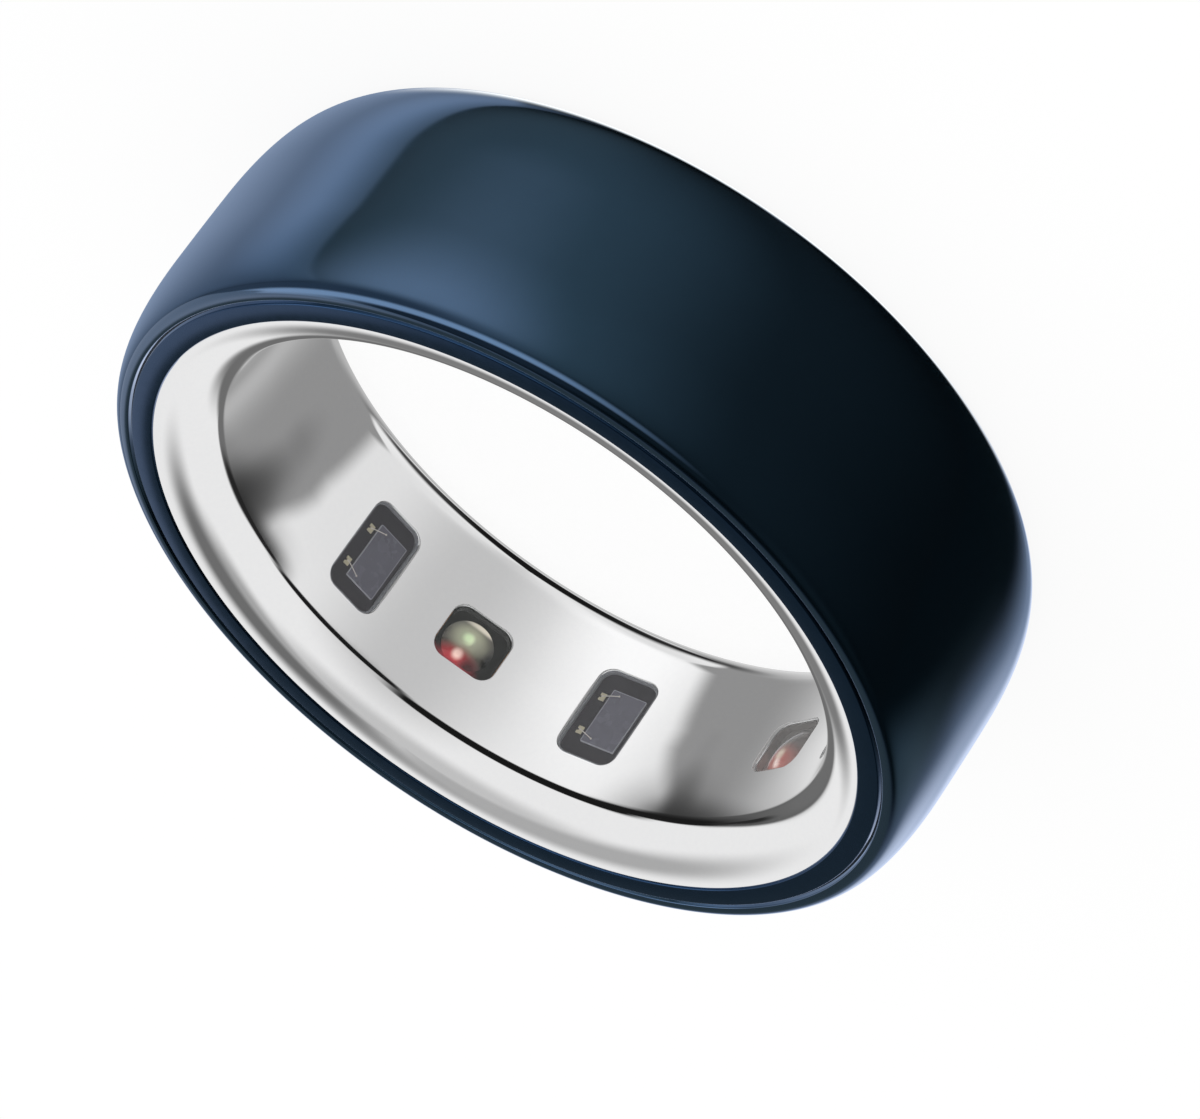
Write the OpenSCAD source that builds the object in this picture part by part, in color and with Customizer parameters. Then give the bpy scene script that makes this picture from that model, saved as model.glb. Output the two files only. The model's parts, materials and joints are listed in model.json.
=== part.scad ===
// Smart ring with optical sensors, lying flat on one side with its axis along Z.
// The origin is under the middle of the ring, on the surface that it rests on.
// From the finger outwards come the inner liner, then the sensor packages and the
// flexible circuit, or the charging coil and the battery, then the potting resin,
// the casing ring, the bond line and the outer band.

/* [Ring] */
// Inside diameter at the straight middle of the bore
bore_d = 19; // [16.5:0.1:22.3]
// Width of the ring along the finger
ring_w = 7.9; // [7.6:0.05:9]
// Thickness of the ring, from the bore to the outside of the band
ring_t = 3.3; // [3.15:0.02:3.8]

/* [Outer band] */
// Thickness of the ceramic band
band_t = 0.92; // [0.8:0.02:1.05]
// Rise of the crown above the start of the rounded corners
crown_h = 0.06; // [0.02:0.01:0.12]
// Length of each rounded corner, along the finger
corner_l = 2.75; // [2:0.05:3.2]
// Width of the flat land on each side of the band, next to the groove
land_w = 0.14; // [0.08:0.01:0.25]
// Radius of the small edge rounding beside the groove
band_edge_r = 0.04; // [0.02:0.01:0.06]

/* [Casing ring] */
// Gap between casing ring and band, which the bond line fills
bond_gap = 0.1; // [0.08:0.01:0.14]
// Depth of the groove that shows between casing ring and band
groove_depth = 0.14; // [0.08:0.01:0.3]
// Width of the flat side face of the casing ring
side_face_w = 0.66; // [0.5:0.02:0.75]
// Thickness of the casing ring between its side faces
casing_wall = 0.3; // [0.2:0.01:0.4]
// Rounding along both edges of each side face
side_edge_r = 0.05; // [0.02:0.01:0.08]

/* [Inner liner] */
// Thickness of the liner at the middle of the bore
liner_wall = 0.35; // [0.3:0.01:0.4]
// Length of the straight middle stretch of the bore
bore_straight = 3.8; // [3.2:0.05:4.2]
// Drop from the side face to the outer edge of the lip
lip_drop = 0.06; // [0.03:0.01:0.12]
// Thickness of the end flange beside the casing ring
flange_t = 0.84; // [0.75:0.01:0.95]
// Width of the bevel inside each end of the cavity, across the wall
bevel_w = 0.4; // [0.3:0.01:0.5]
// Length of that bevel, along the finger
bevel_l = 0.75; // [0.6:0.01:0.85]

/* [Sensor windows] */
// Width of a photodiode window, round the bore
pd_win_w = 1.92; // [1.8:0.02:2]
// Length of a photodiode window, along the finger
pd_win_l = 3.26; // [3.1:0.02:3.36]
// Width of a light source window, round the bore
led_win_w = 2.04; // [1.9:0.02:2.1]
// Length of a light source window, along the finger
led_win_l = 1.9; // [1.8:0.02:1.96]
// Corner radius of all windows
win_corner_r = 0.46; // [0.3:0.01:0.5]
// Wall of the light shield that lines a window
shield_wall = 0.06; // [0.04:0.01:0.07]
// Depth of the window parts below the surface of the bore
win_recess = 0.03; // [0.01:0.01:0.05]
// Thickness of the clear cover over a window
cover_t = 0.08; // [0.06:0.01:0.1]
// Distance from the liner back to the floor of a photodiode package
pd_floor_gap = 0.06; // [0.04:0.01:0.1]
// Distance from the liner back to the floor of a light source package
led_floor_gap = 0.15; // [0.12:0.01:0.2]
// Thickness of a light source package under its floor
package_t = 0.3; // [0.25:0.01:0.35]
// Rim of a sensor package past its window, on each side
package_rim = 0.16; // [0.1:0.01:0.2]

/* [Optical parts] */
// Width of the photodiode chip, round the bore
pd_die_w = 1.1; // [0.94:0.02:1.12]
// Length of the photodiode chip, along the finger
pd_die_l = 2; // [1.8:0.02:2.1]
// Thickness of the photodiode chip
pd_die_t = 0.1; // [0.06:0.01:0.12]
// Sideways shift of the photodiode chip, which makes room for the bond pads
pd_die_shift = 0.18; // [0.14:0.01:0.2]
// Width of a bond pad, round the bore
pad_w = 0.2; // [0.14:0.01:0.22]
// Length of a bond pad, along the finger
pad_l = 0.3; // [0.2:0.01:0.4]
// Thickness of a bond pad
pad_t = 0.03; // [0.02:0.005:0.04]
// Distance between the two bond pads
pad_pitch = 1.3; // [1:0.02:1.4]
// Distance between the two wire ends on the photodiode chip
bead_pitch = 1.66; // [1.5:0.02:1.7]
// Diameter of a bond wire
wire_d = 0.03; // [0.02:0.005:0.04]
// Diameter of the bead at each end of a bond wire
bead_d = 0.06; // [0.05:0.005:0.07]
// Side of a light source chip
led_die_w = 0.3; // [0.2:0.01:0.34]
// Thickness of a light source chip
led_die_t = 0.1; // [0.06:0.01:0.12]
// Distance from the middle of a light source to each of its chips
led_die_offset = 0.27; // [0.25:0.01:0.3]
// Diameter of the clear dome lens at its foot
dome_d = 1.56; // [1.4:0.02:1.6]

/* [Battery and charging] */
// Clearance between the battery cell and each end of the cavity
cell_end_gap = 0.4; // [0.35:0.01:0.7]
// Angle that the battery cell takes up round the ring
cell_angle = 168; // [140:1:172]
// Length of the sealed ledge at the end of the cell, round the ring
ledge_l = 0.5; // [0.3:0.05:0.8]
// Thickness of the charging coil
coil_t = 0.12; // [0.08:0.01:0.16]
// Clearance between the charging coil and each end of the cavity
coil_end_gap = 0.9; // [0.8:0.05:1.2]
// Length of the charging coil, round the ring
coil_l = 11; // [8:0.5:12]
// Width of the copper track of the charging coil
coil_track = 1.1; // [0.8:0.1:1.4]
// Thickness of the ferrite sheet behind the coil
ferrite_t = 0.1; // [0.06:0.01:0.14]
// Thickness of the insulating tape round the outside of the cell
tape_t = 0.05; // [0.03:0.005:0.07]
// Thickness of a battery tab
tab_t = 0.1; // [0.06:0.01:0.14]
// Distance between the two battery tabs
tab_spacing = 1.1; // [0.6:0.05:1.6]

/* [Circuit] */
// Thickness of the flexible circuit
flex_t = 0.12; // [0.08:0.01:0.14]
// Clearance between the flexible circuit and each end of the cavity
flex_end_gap = 0.55; // [0.5:0.01:0.7]
// Thickness of the flat chips
chip_t = 0.45; // [0.35:0.01:0.5]
// Thickness of the motion sensor
motion_t = 0.6; // [0.45:0.01:0.62]
// Thickness of the small capacitors and resistors
passive_t = 0.25; // [0.2:0.01:0.3]
// Thickness of the protection board
board_t = 0.25; // [0.2:0.01:0.3]
// Thickness of the potting resin outside the electronics
resin_skin = 0.06; // [0.04:0.01:0.08]

/* [Hidden] */

$fn = 96;

// Clearance between neighbouring parts
gap = 0.02;
// Clearance under a part that is soldered or glued to a flat face
seat = 0.005;
// Extra length of cuts past the surface that they open
overrun = 0.3;
// Steps along each rounded stretch of an outline
arc_steps = 20;
// Steps round a small edge, and from the tip of a dome lens to its foot
edge_steps = 4;
dome_steps = 10;

// Exponents of the two rounded outlines: 2 is an ellipse, and more is squarer
corner_power = 2.3;
mouth_power = 2.2;

// Places round the ring, in degrees from the X axis
pd_angles = [66.8, 117.5, 182.5];
led_angles = [90, 157.7];
flex_from_angle = 44;
flex_to_angle = 206;
cell_from_angle = 217;
cell_to_angle = cell_from_angle + cell_angle;
coil_middle_angle = (cell_from_angle + cell_to_angle) / 2;
memory_angle = 60;
crystal_angle = 74;
bluetooth_angle = 90;
front_end_angle = 117.5;
power_angle = 138;
motion_angle = 157.7;
inductor_angle = 173;
board_angle = 196;
passives_from_angle = 50;
passives_step_angle = 12.5;
passives_count = 11;
temperature_angles = [53, 137];
antenna_from_angle = 60;
antenna_to_angle = 188;
bay_margin_angle = 2;
lap_angle = 2;

// Places of the three chips round the middle of a light source
green_turn_angle = 220;
red_turn_angle = 90;
infrared_turn_angle = 330;

// Levels along the finger, measured from the middle of the ring
mid_z = ring_w / 2;
straight_z = bore_straight / 2;
lip_z = mid_z - lip_drop;
cavity_z = lip_z - flange_t;
crown_z = mid_z - corner_l;

// Widths along the finger of what fits between the ends of the cavity
cell_w = 2 * (cavity_z - cell_end_gap);
coil_w = 2 * (cavity_z - coil_end_gap);
flex_w = 2 * (cavity_z - flex_end_gap);
bay_w = max(cell_w, flex_w) + 2 * gap;

// Radii, from the bore outwards
bore_r = bore_d / 2;
liner_r = bore_r + liner_wall;
outer_r = bore_r + ring_t;
crown_r = outer_r - crown_h;
band_in_r = outer_r - band_t;
land_r = band_in_r + band_edge_r + land_w;
casing_r = band_in_r - bond_gap;
cavity_r = casing_r - casing_wall;
seam_r = casing_r - side_face_w;
lip_r = seam_r - gap;
bay_r = cavity_r - gap - resin_skin;

// The windows and what lies behind them
window_r = bore_r + win_recess;
cover_r = window_r + cover_t;
pd_floor_r = liner_r + pd_floor_gap;
led_floor_r = liner_r + led_floor_gap;
package_back_r = led_floor_r + package_t;
flex_in_r = package_back_r + gap;
flex_out_r = flex_in_r + flex_t;
chip_r = flex_out_r + gap;

// The coil, the ferrite sheet and the cell lie on each other behind the liner
coil_in_r = liner_r + gap;
coil_out_r = coil_in_r + coil_t;
ferrite_in_r = coil_out_r + gap;
ferrite_out_r = ferrite_in_r + ferrite_t;
cell_in_r = ferrite_out_r + gap;
tape_out_r = bay_r - gap;
tape_in_r = tape_out_r - tape_t;
cell_out_r = tape_in_r - gap;

// The rows of small parts, and the room that they leave for the chips between them
passive_w = 0.5;
passive_l = 0.28;
passive_edge = 0.2;
passive_z = flex_w / 2 - passive_edge - passive_l / 2;
chip_room = 2 * (passive_z - passive_l / 2 - gap);

// Chips, by width round the ring and clearance from each end of their room
bluetooth_w = 3;
bluetooth_end_gap = 0.6;
front_end_w = 2.5;
front_end_end_gap = 0.65;
power_w = 2.1;
power_end_gap = 0.9;
motion_w = 2;
motion_end_gap = 0.9;
memory_w = 1.5;
memory_end_gap = 0.8;
crystal_w = 1.2;
crystal_end_gap = 1.2;
inductor_w = 1.2;
inductor_end_gap = 1;
temperature_w = 0.5;
temperature_l = 0.4;
board_w = 1.8;
board_edge = 0.5;
board_l = flex_w - 2 * board_edge;
tab_edge = 0.25;
tab_w = (board_l - tab_spacing) / 2 - tab_edge;
tab_offset = (tab_spacing + tab_w) / 2;
ledge_t = 0.3;
ledge_edge = 0.4;
tab_in_r = norm([chip_r + board_t, board_w / 2]) + gap;
tab_lap = 0.5;
antenna_t = 0.04;
antenna_w = 0.7;
antenna_edge = 0.2;
lead_t = 0.06;
lead_w = 0.5;
lead_pitch = 1.2;
ferrite_rim = 0.3;
cell_edge_r = 0.3;

// Corner radii of the coil and of its hole, as shares of half their widths
coil_corner_share = 0.56;
coil_hole_share = 0.57;

// The pads lie between the photodiode chip and the wall of the window
pad_across = (pd_die_shift - pd_die_w / 2 - pd_win_w / 2 + gap + shield_wall) / 2;

// Arc of each bond wire, and the place of its bead across the window
wire_arc = 60;
bead_across = -0.1;

// Points of a quarter of a superellipse, from beside its centre to above it
function super_arc(centre, size, power, steps) = [
    for (i = [0 : steps])
        let (turn = 90 * i / steps)
        centre + [
            size[0] * pow(cos(turn), 2 / power),
            size[1] * pow(sin(turn), 2 / power)
        ]
];

// Points of a circular arc about a centre
function round_arc(centre, radius, from, to, steps) = [
    for (i = [0 : steps])
        let (turn = from + (to - from) * i / steps)
        centre + radius * [cos(turn), sin(turn)]
];

function reversed(points) = [for (i = [len(points) - 1 : -1 : 0]) points[i]];

// An outline above the middle of the ring, joined to its mirror image below
function both_sides(points) = concat(
    points,
    [for (p = reversed(points)) [p[0], -p[1]]]
);

// Angle that a width takes up at a radius
function spread(width, radius) = 2 * asin(width / 2 / radius);

// A solid turned from an outline that is written about the middle of the ring
module turned(points) {
    translate([0, 0, mid_z])
        rotate_extrude()
            polygon(points);
}

// A shell between two radii and two angles, centred along the finger
module arc_shell(r_in, r_out, from, to, width, along = 0) {
    translate([0, 0, mid_z + along - width / 2])
        rotate([0, 0, from])
            rotate_extrude(angle = to - from)
                translate([r_in, 0])
                    square([r_out - r_in, width]);
}

// A full tube between two radii
module tube(r_in, r_out, width) {
    translate([0, 0, mid_z - width / 2])
        difference() {
            cylinder(r = r_out, h = width);
            translate([0, 0, -overrun])
                cylinder(r = r_in, h = width + 2 * overrun);
        }
}

// Moves a part to its place on the ring: X outwards, Y round the ring, Z along it
module at(angle, radius = 0, across = 0, along = 0) {
    rotate([0, 0, angle])
        translate([radius, across, mid_z + along])
            children();
}

// A flat block that starts at X = 0 and is centred on Y and Z
module block(depth, across, along) {
    translate([0, -across / 2, -along / 2])
        cube([depth, across, along]);
}

module rounded_rectangle(length, width, corner) {
    square([length - 2 * corner, width], center = true);
    square([length, width - 2 * corner], center = true);
    for (x = [-1, 1], y = [-1, 1])
        translate([x * (length / 2 - corner), y * (width / 2 - corner)])
            circle(r = corner);
}

// A block with rounded corners, as seen from the finger
module round_block(depth, across, along, corner) {
    rotate([0, 90, 0])
        linear_extrude(height = depth)
            rounded_rectangle(along, across, corner);
}

// The hole of a window, right through the wall of the liner
module window_hole(angle, across, along) {
    at(angle, bore_r - overrun)
        round_block(liner_wall + 2 * overrun, across, along, win_corner_r);
}

// A block that stands in a window, inset all round from its hole
module window_block(depth, across, along, inset) {
    round_block(depth, across - 2 * inset, along - 2 * inset, win_corner_r - inset);
}

// Outer shells

module outer_band() {
    corner = reversed(super_arc([land_r, crown_z], [crown_r - land_r, corner_l],
        corner_power, arc_steps));
    edge = round_arc([band_in_r + band_edge_r, mid_z - band_edge_r], band_edge_r,
        180, 90, edge_steps);
    crown = [
        for (i = [1 : edge_steps])
            let (share = 1 - i / (edge_steps + 1))
            [outer_r - crown_h * share * share, crown_z * share]
    ];
    color("#16304a")
        turned(both_sides(concat(edge, corner, crown)));
}

module band_bond() {
    color("#0b0f14")
        tube(casing_r + gap, band_in_r - gap, ring_w - 2 * groove_depth);
}

module casing_ring() {
    inner_edge = round_arc([seam_r + side_edge_r, mid_z - side_edge_r], side_edge_r,
        180, 90, edge_steps);
    outer_edge = round_arc([casing_r - side_edge_r, mid_z - side_edge_r], side_edge_r,
        90, 0, edge_steps);
    color("#1d3854")
        turned(both_sides(concat(
            [[cavity_r, cavity_z], [seam_r, cavity_z]],
            inner_edge,
            outer_edge
        )));
}

module inner_liner() {
    mouth = reversed(super_arc([lip_r, straight_z], [bore_r - lip_r, lip_z - straight_z],
        mouth_power, arc_steps));
    color("#d6d6d4")
        difference() {
            turned(both_sides(concat(
                [
                    [liner_r, cavity_z - bevel_l],
                    [liner_r + bevel_w, cavity_z],
                    [lip_r, cavity_z]
                ],
                mouth
            )));
            for (angle = pd_angles)
                window_hole(angle, pd_win_w, pd_win_l);
            for (angle = led_angles)
                window_hole(angle, led_win_w, led_win_l);
        }
}

// Resin fills the ends of the cavity and the space between cell and circuit
module potting_resin() {
    color("#6c7276")
        difference() {
            turned(both_sides([
                [liner_r + gap, cavity_z - bevel_l - gap],
                [liner_r + gap + bevel_w, cavity_z - gap],
                [cavity_r - gap, cavity_z - gap]
            ]));
            arc_shell(bore_r, bay_r, flex_from_angle - bay_margin_angle,
                cell_to_angle + bay_margin_angle, bay_w);
        }
}

// Optical windows

// A thin wall round a window, which keeps stray light out
module shield(angle, across, along, floor_r) {
    depth = floor_r - seat - window_r;
    color("#7c7c80")
        at(angle, window_r)
            difference() {
                window_block(depth, across, along, gap);
                translate([-overrun, 0, 0])
                    window_block(depth + 2 * overrun, across, along, gap + shield_wall);
            }
}

// The moulded block that carries the optical chips, with a flat back on the circuit
module package(angle, across, along, floor_r) {
    half_w = across / 2 + package_rim;
    back = sqrt(package_back_r * package_back_r - half_w * half_w);
    color("#3b393d")
        at(angle, floor_r)
            round_block(back - floor_r, 2 * half_w, along + 2 * package_rim, win_corner_r);
}

// A clear pane, flat and just below the surface of the bore
module window_pane(angle, across, along) {
    color("#e8f2f4", 0.3)
        at(angle, window_r)
            window_block(cover_t, across, along, gap + shield_wall + gap);
}

module pd_die(angle) {
    color("#5c5a62")
        at(angle, pd_floor_r - seat - pd_die_t, pd_die_shift)
            block(pd_die_t, pd_die_w, pd_die_l);
}

module pd_bond_pads(angle) {
    color("#cdbf9a")
        for (side = [-1, 1])
            at(angle, pd_floor_r - seat - pad_t, pad_across, side * pad_pitch / 2)
                block(pad_t, pad_w, pad_l);
}

// One wire: a post on the pad, an arch, and a bead at each end
module bond_wire(side) {
    start = [pad_across, side * pad_pitch / 2];
    end = [bead_across, side * bead_pitch / 2];
    way = end - start;
    span = norm(way);
    radius = span / 2 / sin(wire_arc / 2);
    level = -pd_die_t - 2 * seat - bead_d / 2;
    for (foot = [start, end])
        translate([level, foot[0], foot[1]])
            sphere(d = bead_d, $fn = 24);
    translate([level, start[0], start[1]])
        rotate([0, 90, 0])
            cylinder(d = wire_d, h = -level - pad_t - 2 * seat, $fn = 24);
    translate([level, (start[0] + end[0]) / 2, (start[1] + end[1]) / 2])
        rotate([atan2(way[1], way[0]), 0, 0])
            translate([radius * cos(wire_arc / 2), 0, 0])
                rotate([0, 0, 180 - wire_arc / 2])
                    rotate_extrude(angle = wire_arc)
                        translate([radius, 0])
                            circle(d = wire_d, $fn = 24);
}

module pd_bond_wires(angle) {
    color("#e6dfcf")
        at(angle, pd_floor_r)
            for (side = [-1, 1])
                bond_wire(side);
}

// Three chips stand round the middle of each light source
module led_die(angle, turn, colour) {
    color(colour)
        at(angle, led_floor_r - seat - led_die_t, led_die_offset * cos(turn),
            led_die_offset * sin(turn))
            block(led_die_t, led_die_w, led_die_w);
}

// A clear spherical cap, hollow at its foot to clear the chips
module led_dome(angle) {
    height = led_floor_r - seat - cover_r - gap;
    sphere_r = (height * height + dome_d * dome_d / 4) / (2 * height);
    rim_angle = asin(dome_d / 2 / sphere_r);
    pocket_r = led_die_offset + led_die_w * sin(45) + gap;
    pocket_level = height - led_die_t - gap;
    cap = [
        for (i = [0 : dome_steps])
            let (turn = rim_angle * i / dome_steps)
            sphere_r * [sin(turn), 1 - cos(turn)]
    ];
    color("#dfe8dc", 0.5)
        at(angle, cover_r + gap)
            rotate([0, 90, 0])
                rotate_extrude()
                    polygon(concat(
                        cap,
                        [[pocket_r, height], [pocket_r, pocket_level], [0, pocket_level]]
                    ));
}

// Circuit

module flex_circuit() {
    color("#b36a24")
        arc_shell(flex_in_r, flex_out_r, flex_from_angle, flex_to_angle, flex_w);
}

// A flat chip on the outside of the flexible circuit
module chip(angle, across, end_gap, thickness, colour) {
    color(colour)
        at(angle, chip_r)
            block(thickness, across, chip_room - 2 * end_gap);
}

// A row of small parts along one edge of the circuit
module passive_row(side, colour) {
    color(colour)
        for (i = [0 : passives_count - 1])
            at(passives_from_angle + i * passives_step_angle, chip_r, 0, side * passive_z)
                block(passive_t, passive_w, passive_l);
}

module temperature_sensors() {
    depth = flex_in_r - liner_r - 3 * gap;
    color("#2f3338")
        for (angle = temperature_angles)
            at(angle, liner_r + gap)
                block(depth, temperature_w, temperature_l);
}

module antenna_strip() {
    color("#c07a3a")
        arc_shell(bay_r - gap - antenna_t, bay_r - gap, antenna_from_angle,
            antenna_to_angle, antenna_w, flex_w / 2 - antenna_edge - antenna_w / 2);
}

// Battery and charging

module battery_cell() {
    ledge_in_r = tab_in_r + tab_t / 2 - ledge_t / 2;
    ledge_angle = spread(ledge_l, tab_in_r);
    color("#b9bcc0")
        translate([0, 0, mid_z]) {
            rotate([0, 0, cell_from_angle])
                rotate_extrude(angle = cell_angle)
                    translate([(cell_in_r + cell_out_r) / 2, 0])
                        rounded_rectangle(cell_out_r - cell_in_r, cell_w, cell_edge_r);
            rotate([0, 0, cell_from_angle - ledge_angle])
                rotate_extrude(angle = ledge_angle + lap_angle)
                    translate([ledge_in_r, -cell_w / 2 + ledge_edge])
                        square([ledge_t, cell_w - 2 * ledge_edge]);
        }
}

module battery_tape() {
    color("#d8b23a")
        arc_shell(tape_in_r, tape_out_r, cell_from_angle, cell_to_angle, cell_w);
}

// A tab runs from the ledge of the cell to the protection board
module battery_tab(side) {
    ledge_angle = spread(ledge_l + gap, tab_in_r);
    start_angle = spread(board_w, tab_in_r) / 2 - spread(tab_lap, tab_in_r);
    color("#c9c6bd")
        arc_shell(tab_in_r, tab_in_r + tab_t, board_angle + start_angle,
            cell_from_angle - ledge_angle, tab_w, side * tab_offset);
}

module protection_board() {
    color("#1f5a3a")
        at(board_angle, chip_r)
            block(board_t, board_w, board_l);
}

module charging_coil() {
    depth = coil_out_r + overrun;
    hole_w = coil_w - 2 * coil_track;
    color("#b87333")
        intersection() {
            tube(coil_in_r, coil_out_r, coil_w + 2 * overrun);
            at(coil_middle_angle)
                difference() {
                    round_block(depth, coil_l, coil_w, coil_corner_share * coil_w / 2);
                    translate([-overrun, 0, 0])
                        round_block(depth + 2 * overrun, coil_l - 2 * coil_track,
                            hole_w, coil_hole_share * hole_w / 2);
                }
        }
}

module coil_leads() {
    coil_half_angle = asin(coil_l / 2 / coil_in_r) + spread(gap, coil_in_r);
    color("#c98a4b")
        for (side = [-1, 1])
            arc_shell(coil_in_r, coil_in_r + lead_t, flex_to_angle - lap_angle,
                coil_middle_angle - coil_half_angle, lead_w, side * lead_pitch / 2);
}

module ferrite_sheet() {
    half_angle = asin(coil_l / 2 / coil_out_r) + spread(ferrite_rim, coil_out_r);
    color("#33302e")
        arc_shell(ferrite_in_r, ferrite_out_r, coil_middle_angle - half_angle,
            coil_middle_angle + half_angle, coil_w + 2 * ferrite_rim);
}

outer_band();
band_bond();
casing_ring();
inner_liner();
potting_resin();
for (i = [0 : len(pd_angles) - 1]) {
    shield(pd_angles[i], pd_win_w, pd_win_l, pd_floor_r);
    package(pd_angles[i], pd_win_w, pd_win_l, pd_floor_r);
    pd_die(pd_angles[i]);
    pd_bond_pads(pd_angles[i]);
    pd_bond_wires(pd_angles[i]);
    window_pane(pd_angles[i], pd_win_w, pd_win_l);
}
for (i = [0 : len(led_angles) - 1]) {
    shield(led_angles[i], led_win_w, led_win_l, led_floor_r);
    package(led_angles[i], led_win_w, led_win_l, led_floor_r);
    led_die(led_angles[i], green_turn_angle, "#4fbf6a");
    led_die(led_angles[i], red_turn_angle, "#c8323c");
    led_die(led_angles[i], infrared_turn_angle, "#5a3038");
    led_dome(led_angles[i]);
    window_pane(led_angles[i], led_win_w, led_win_l);
}
flex_circuit();
chip(bluetooth_angle, bluetooth_w, bluetooth_end_gap, chip_t, "#1c1c1f");  // bluetooth_chip
chip(front_end_angle, front_end_w, front_end_end_gap, chip_t, "#222226");  // sensor_front_end
chip(power_angle, power_w, power_end_gap, chip_t, "#26262a");  // power_chip
chip(motion_angle, motion_w, motion_end_gap, motion_t, "#2b2b30");  // motion_sensor
chip(memory_angle, memory_w, memory_end_gap, chip_t, "#1e1f24");  // memory_chip
chip(crystal_angle, crystal_w, crystal_end_gap, chip_t, "#c4c6c8");  // crystal
chip(inductor_angle, inductor_w, inductor_end_gap, motion_t, "#4a4038");  // inductor
passive_row(1, "#b89a6a");  // capacitors
passive_row(-1, "#303034");  // resistors
temperature_sensors();
antenna_strip();
battery_cell();
battery_tape();
battery_tab(1);  // battery_tab_positive
battery_tab(-1);  // battery_tab_negative
protection_board();
charging_coil();
coil_leads();
ferrite_sheet();
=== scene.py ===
"""Smart ring with optical sensors: the looks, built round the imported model.

Sizes are in millimetres in the ring's own frame, and a mesh is scaled to metres when it is
finished. Only the studio's sizes are in metres. A place round the bore is an angle in degrees
from the X axis. In a sensor window, depth is the distance from the axis, across runs round the
bore and along runs with the finger.
"""

import json
import math

import bmesh
import bpy
from mathutils import Matrix, Vector


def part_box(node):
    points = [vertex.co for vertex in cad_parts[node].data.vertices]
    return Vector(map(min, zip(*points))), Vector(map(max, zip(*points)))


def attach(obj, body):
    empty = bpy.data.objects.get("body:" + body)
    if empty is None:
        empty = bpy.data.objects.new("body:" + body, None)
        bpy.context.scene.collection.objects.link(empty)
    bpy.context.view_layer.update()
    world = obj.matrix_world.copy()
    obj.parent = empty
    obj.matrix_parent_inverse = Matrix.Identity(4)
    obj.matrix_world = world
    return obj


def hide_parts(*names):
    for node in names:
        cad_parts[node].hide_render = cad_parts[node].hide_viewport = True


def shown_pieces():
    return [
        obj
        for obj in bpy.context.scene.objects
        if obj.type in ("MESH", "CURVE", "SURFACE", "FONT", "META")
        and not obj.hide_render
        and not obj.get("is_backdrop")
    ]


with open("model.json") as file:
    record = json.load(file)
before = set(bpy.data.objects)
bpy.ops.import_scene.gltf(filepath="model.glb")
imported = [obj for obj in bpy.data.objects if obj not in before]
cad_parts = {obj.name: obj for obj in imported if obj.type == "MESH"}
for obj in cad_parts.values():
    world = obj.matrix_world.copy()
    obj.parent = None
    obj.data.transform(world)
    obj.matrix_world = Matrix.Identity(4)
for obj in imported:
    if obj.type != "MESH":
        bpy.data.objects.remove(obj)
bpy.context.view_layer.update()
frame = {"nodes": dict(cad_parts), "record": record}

MM = 0.001
NODES = frame["nodes"]
SLOTS = {part["node"]: part["material_slot"] for part in frame["record"]["subparts"]}


def reach(node):
    """How far a node reaches from the axis of the ring, in mm."""
    return max(abs(v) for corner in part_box(node) for v in corner[:2]) / MM


def top(node):
    """The highest level of a node, in mm."""
    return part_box(node)[1][2] / MM


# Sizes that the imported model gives
BORE = next(mount for mount in frame["record"]["mounts"] if mount["name"] == "finger_bore")
BORE_R = BORE["dims"]["r_mm"]
STRAIGHT_Z = BORE["dims"]["length_mm"] / 2
MID_Z = top("outer_band") / 2
OUTER_R = reach("outer_band")
CASING_R = reach("casing_ring")
LIP_R = reach("inner_liner")
LIP_Z = top("inner_liner") - MID_Z
GLUE_R = reach("band_bond")
GLUE_Z = top("band_bond") - MID_Z

# Clearance between neighbours, and under a piece that is set on another
GAP = 0.02
SEAT = 0.005

# Points that are this close are one point
TOUCH = 0.00001

# Outer band: edge rounding, flat land, crown and rounded corners
BAND_IN_R = GLUE_R + GAP
BAND_EDGE = 0.04
LAND_W = 0.14
LAND_R = BAND_IN_R + BAND_EDGE + LAND_W
CROWN_RISE = 0.06
CROWN_R = OUTER_R - CROWN_RISE
CORNER_L = 2.75
CORNER_POWER = 2.3
CROWN_Z = MID_Z - CORNER_L

# Casing ring: side face, edge rounding and wall
SEAM_R = LIP_R + GAP
CASING_EDGE = 0.05
CASING_WALL = 0.3
CAVITY_R = CASING_R - CASING_WALL
FLANGE = 0.84
CAVITY_Z = LIP_Z - FLANGE

# Inner liner: wall, bevel inside each end and power of its rounded mouths
LINER_WALL = 0.35
LINER_R = BORE_R + LINER_WALL
BEVEL_W = 0.4
BEVEL_L = 0.75
MOUTH_POWER = 2.2

# The bore swells towards each mouth, as far as the crease where the rounded mouth begins. The
# crease is rounded over a short stretch, with a margin before the next point of the mouth.
CREASE_SHARE = 0.405
CREASE_TILT = math.radians(5)
CREASE_ROUND = 0.15
CREASE_MARGIN = 0.015

# Sensor windows: width across, length along, angles and corners
PD_WINDOW = (1.92, 3.26)
LED_WINDOW = (2.04, 1.9)
PD_ANGLES = (66.8, 117.5, 182.5)
LED_ANGLES = (90, 157.7)
WINDOW_CORNER = 0.46

# Rounding of a window's edge towards the bore, from this slope in degrees on, and how far its
# cutter reaches past the liner on the inside and the outside
WINDOW_EDGE = 0.025
EDGE_START = 15
CUTTER_INSIDE = 0.6
CUTTER_OUTSIDE = 0.4

# Depths in a window: front of shield and cover, back of cover, floors and back of package
RECESS = 0.03
FRONT_R = BORE_R + RECESS
COVER_T = 0.04
COVER_R = FRONT_R + COVER_T
PD_FLOOR_R = 9.7
LED_FLOOR_R = 9.8
PACKAGE_BACK_R = 10.04
SHIELD_WALL = 0.06

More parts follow.
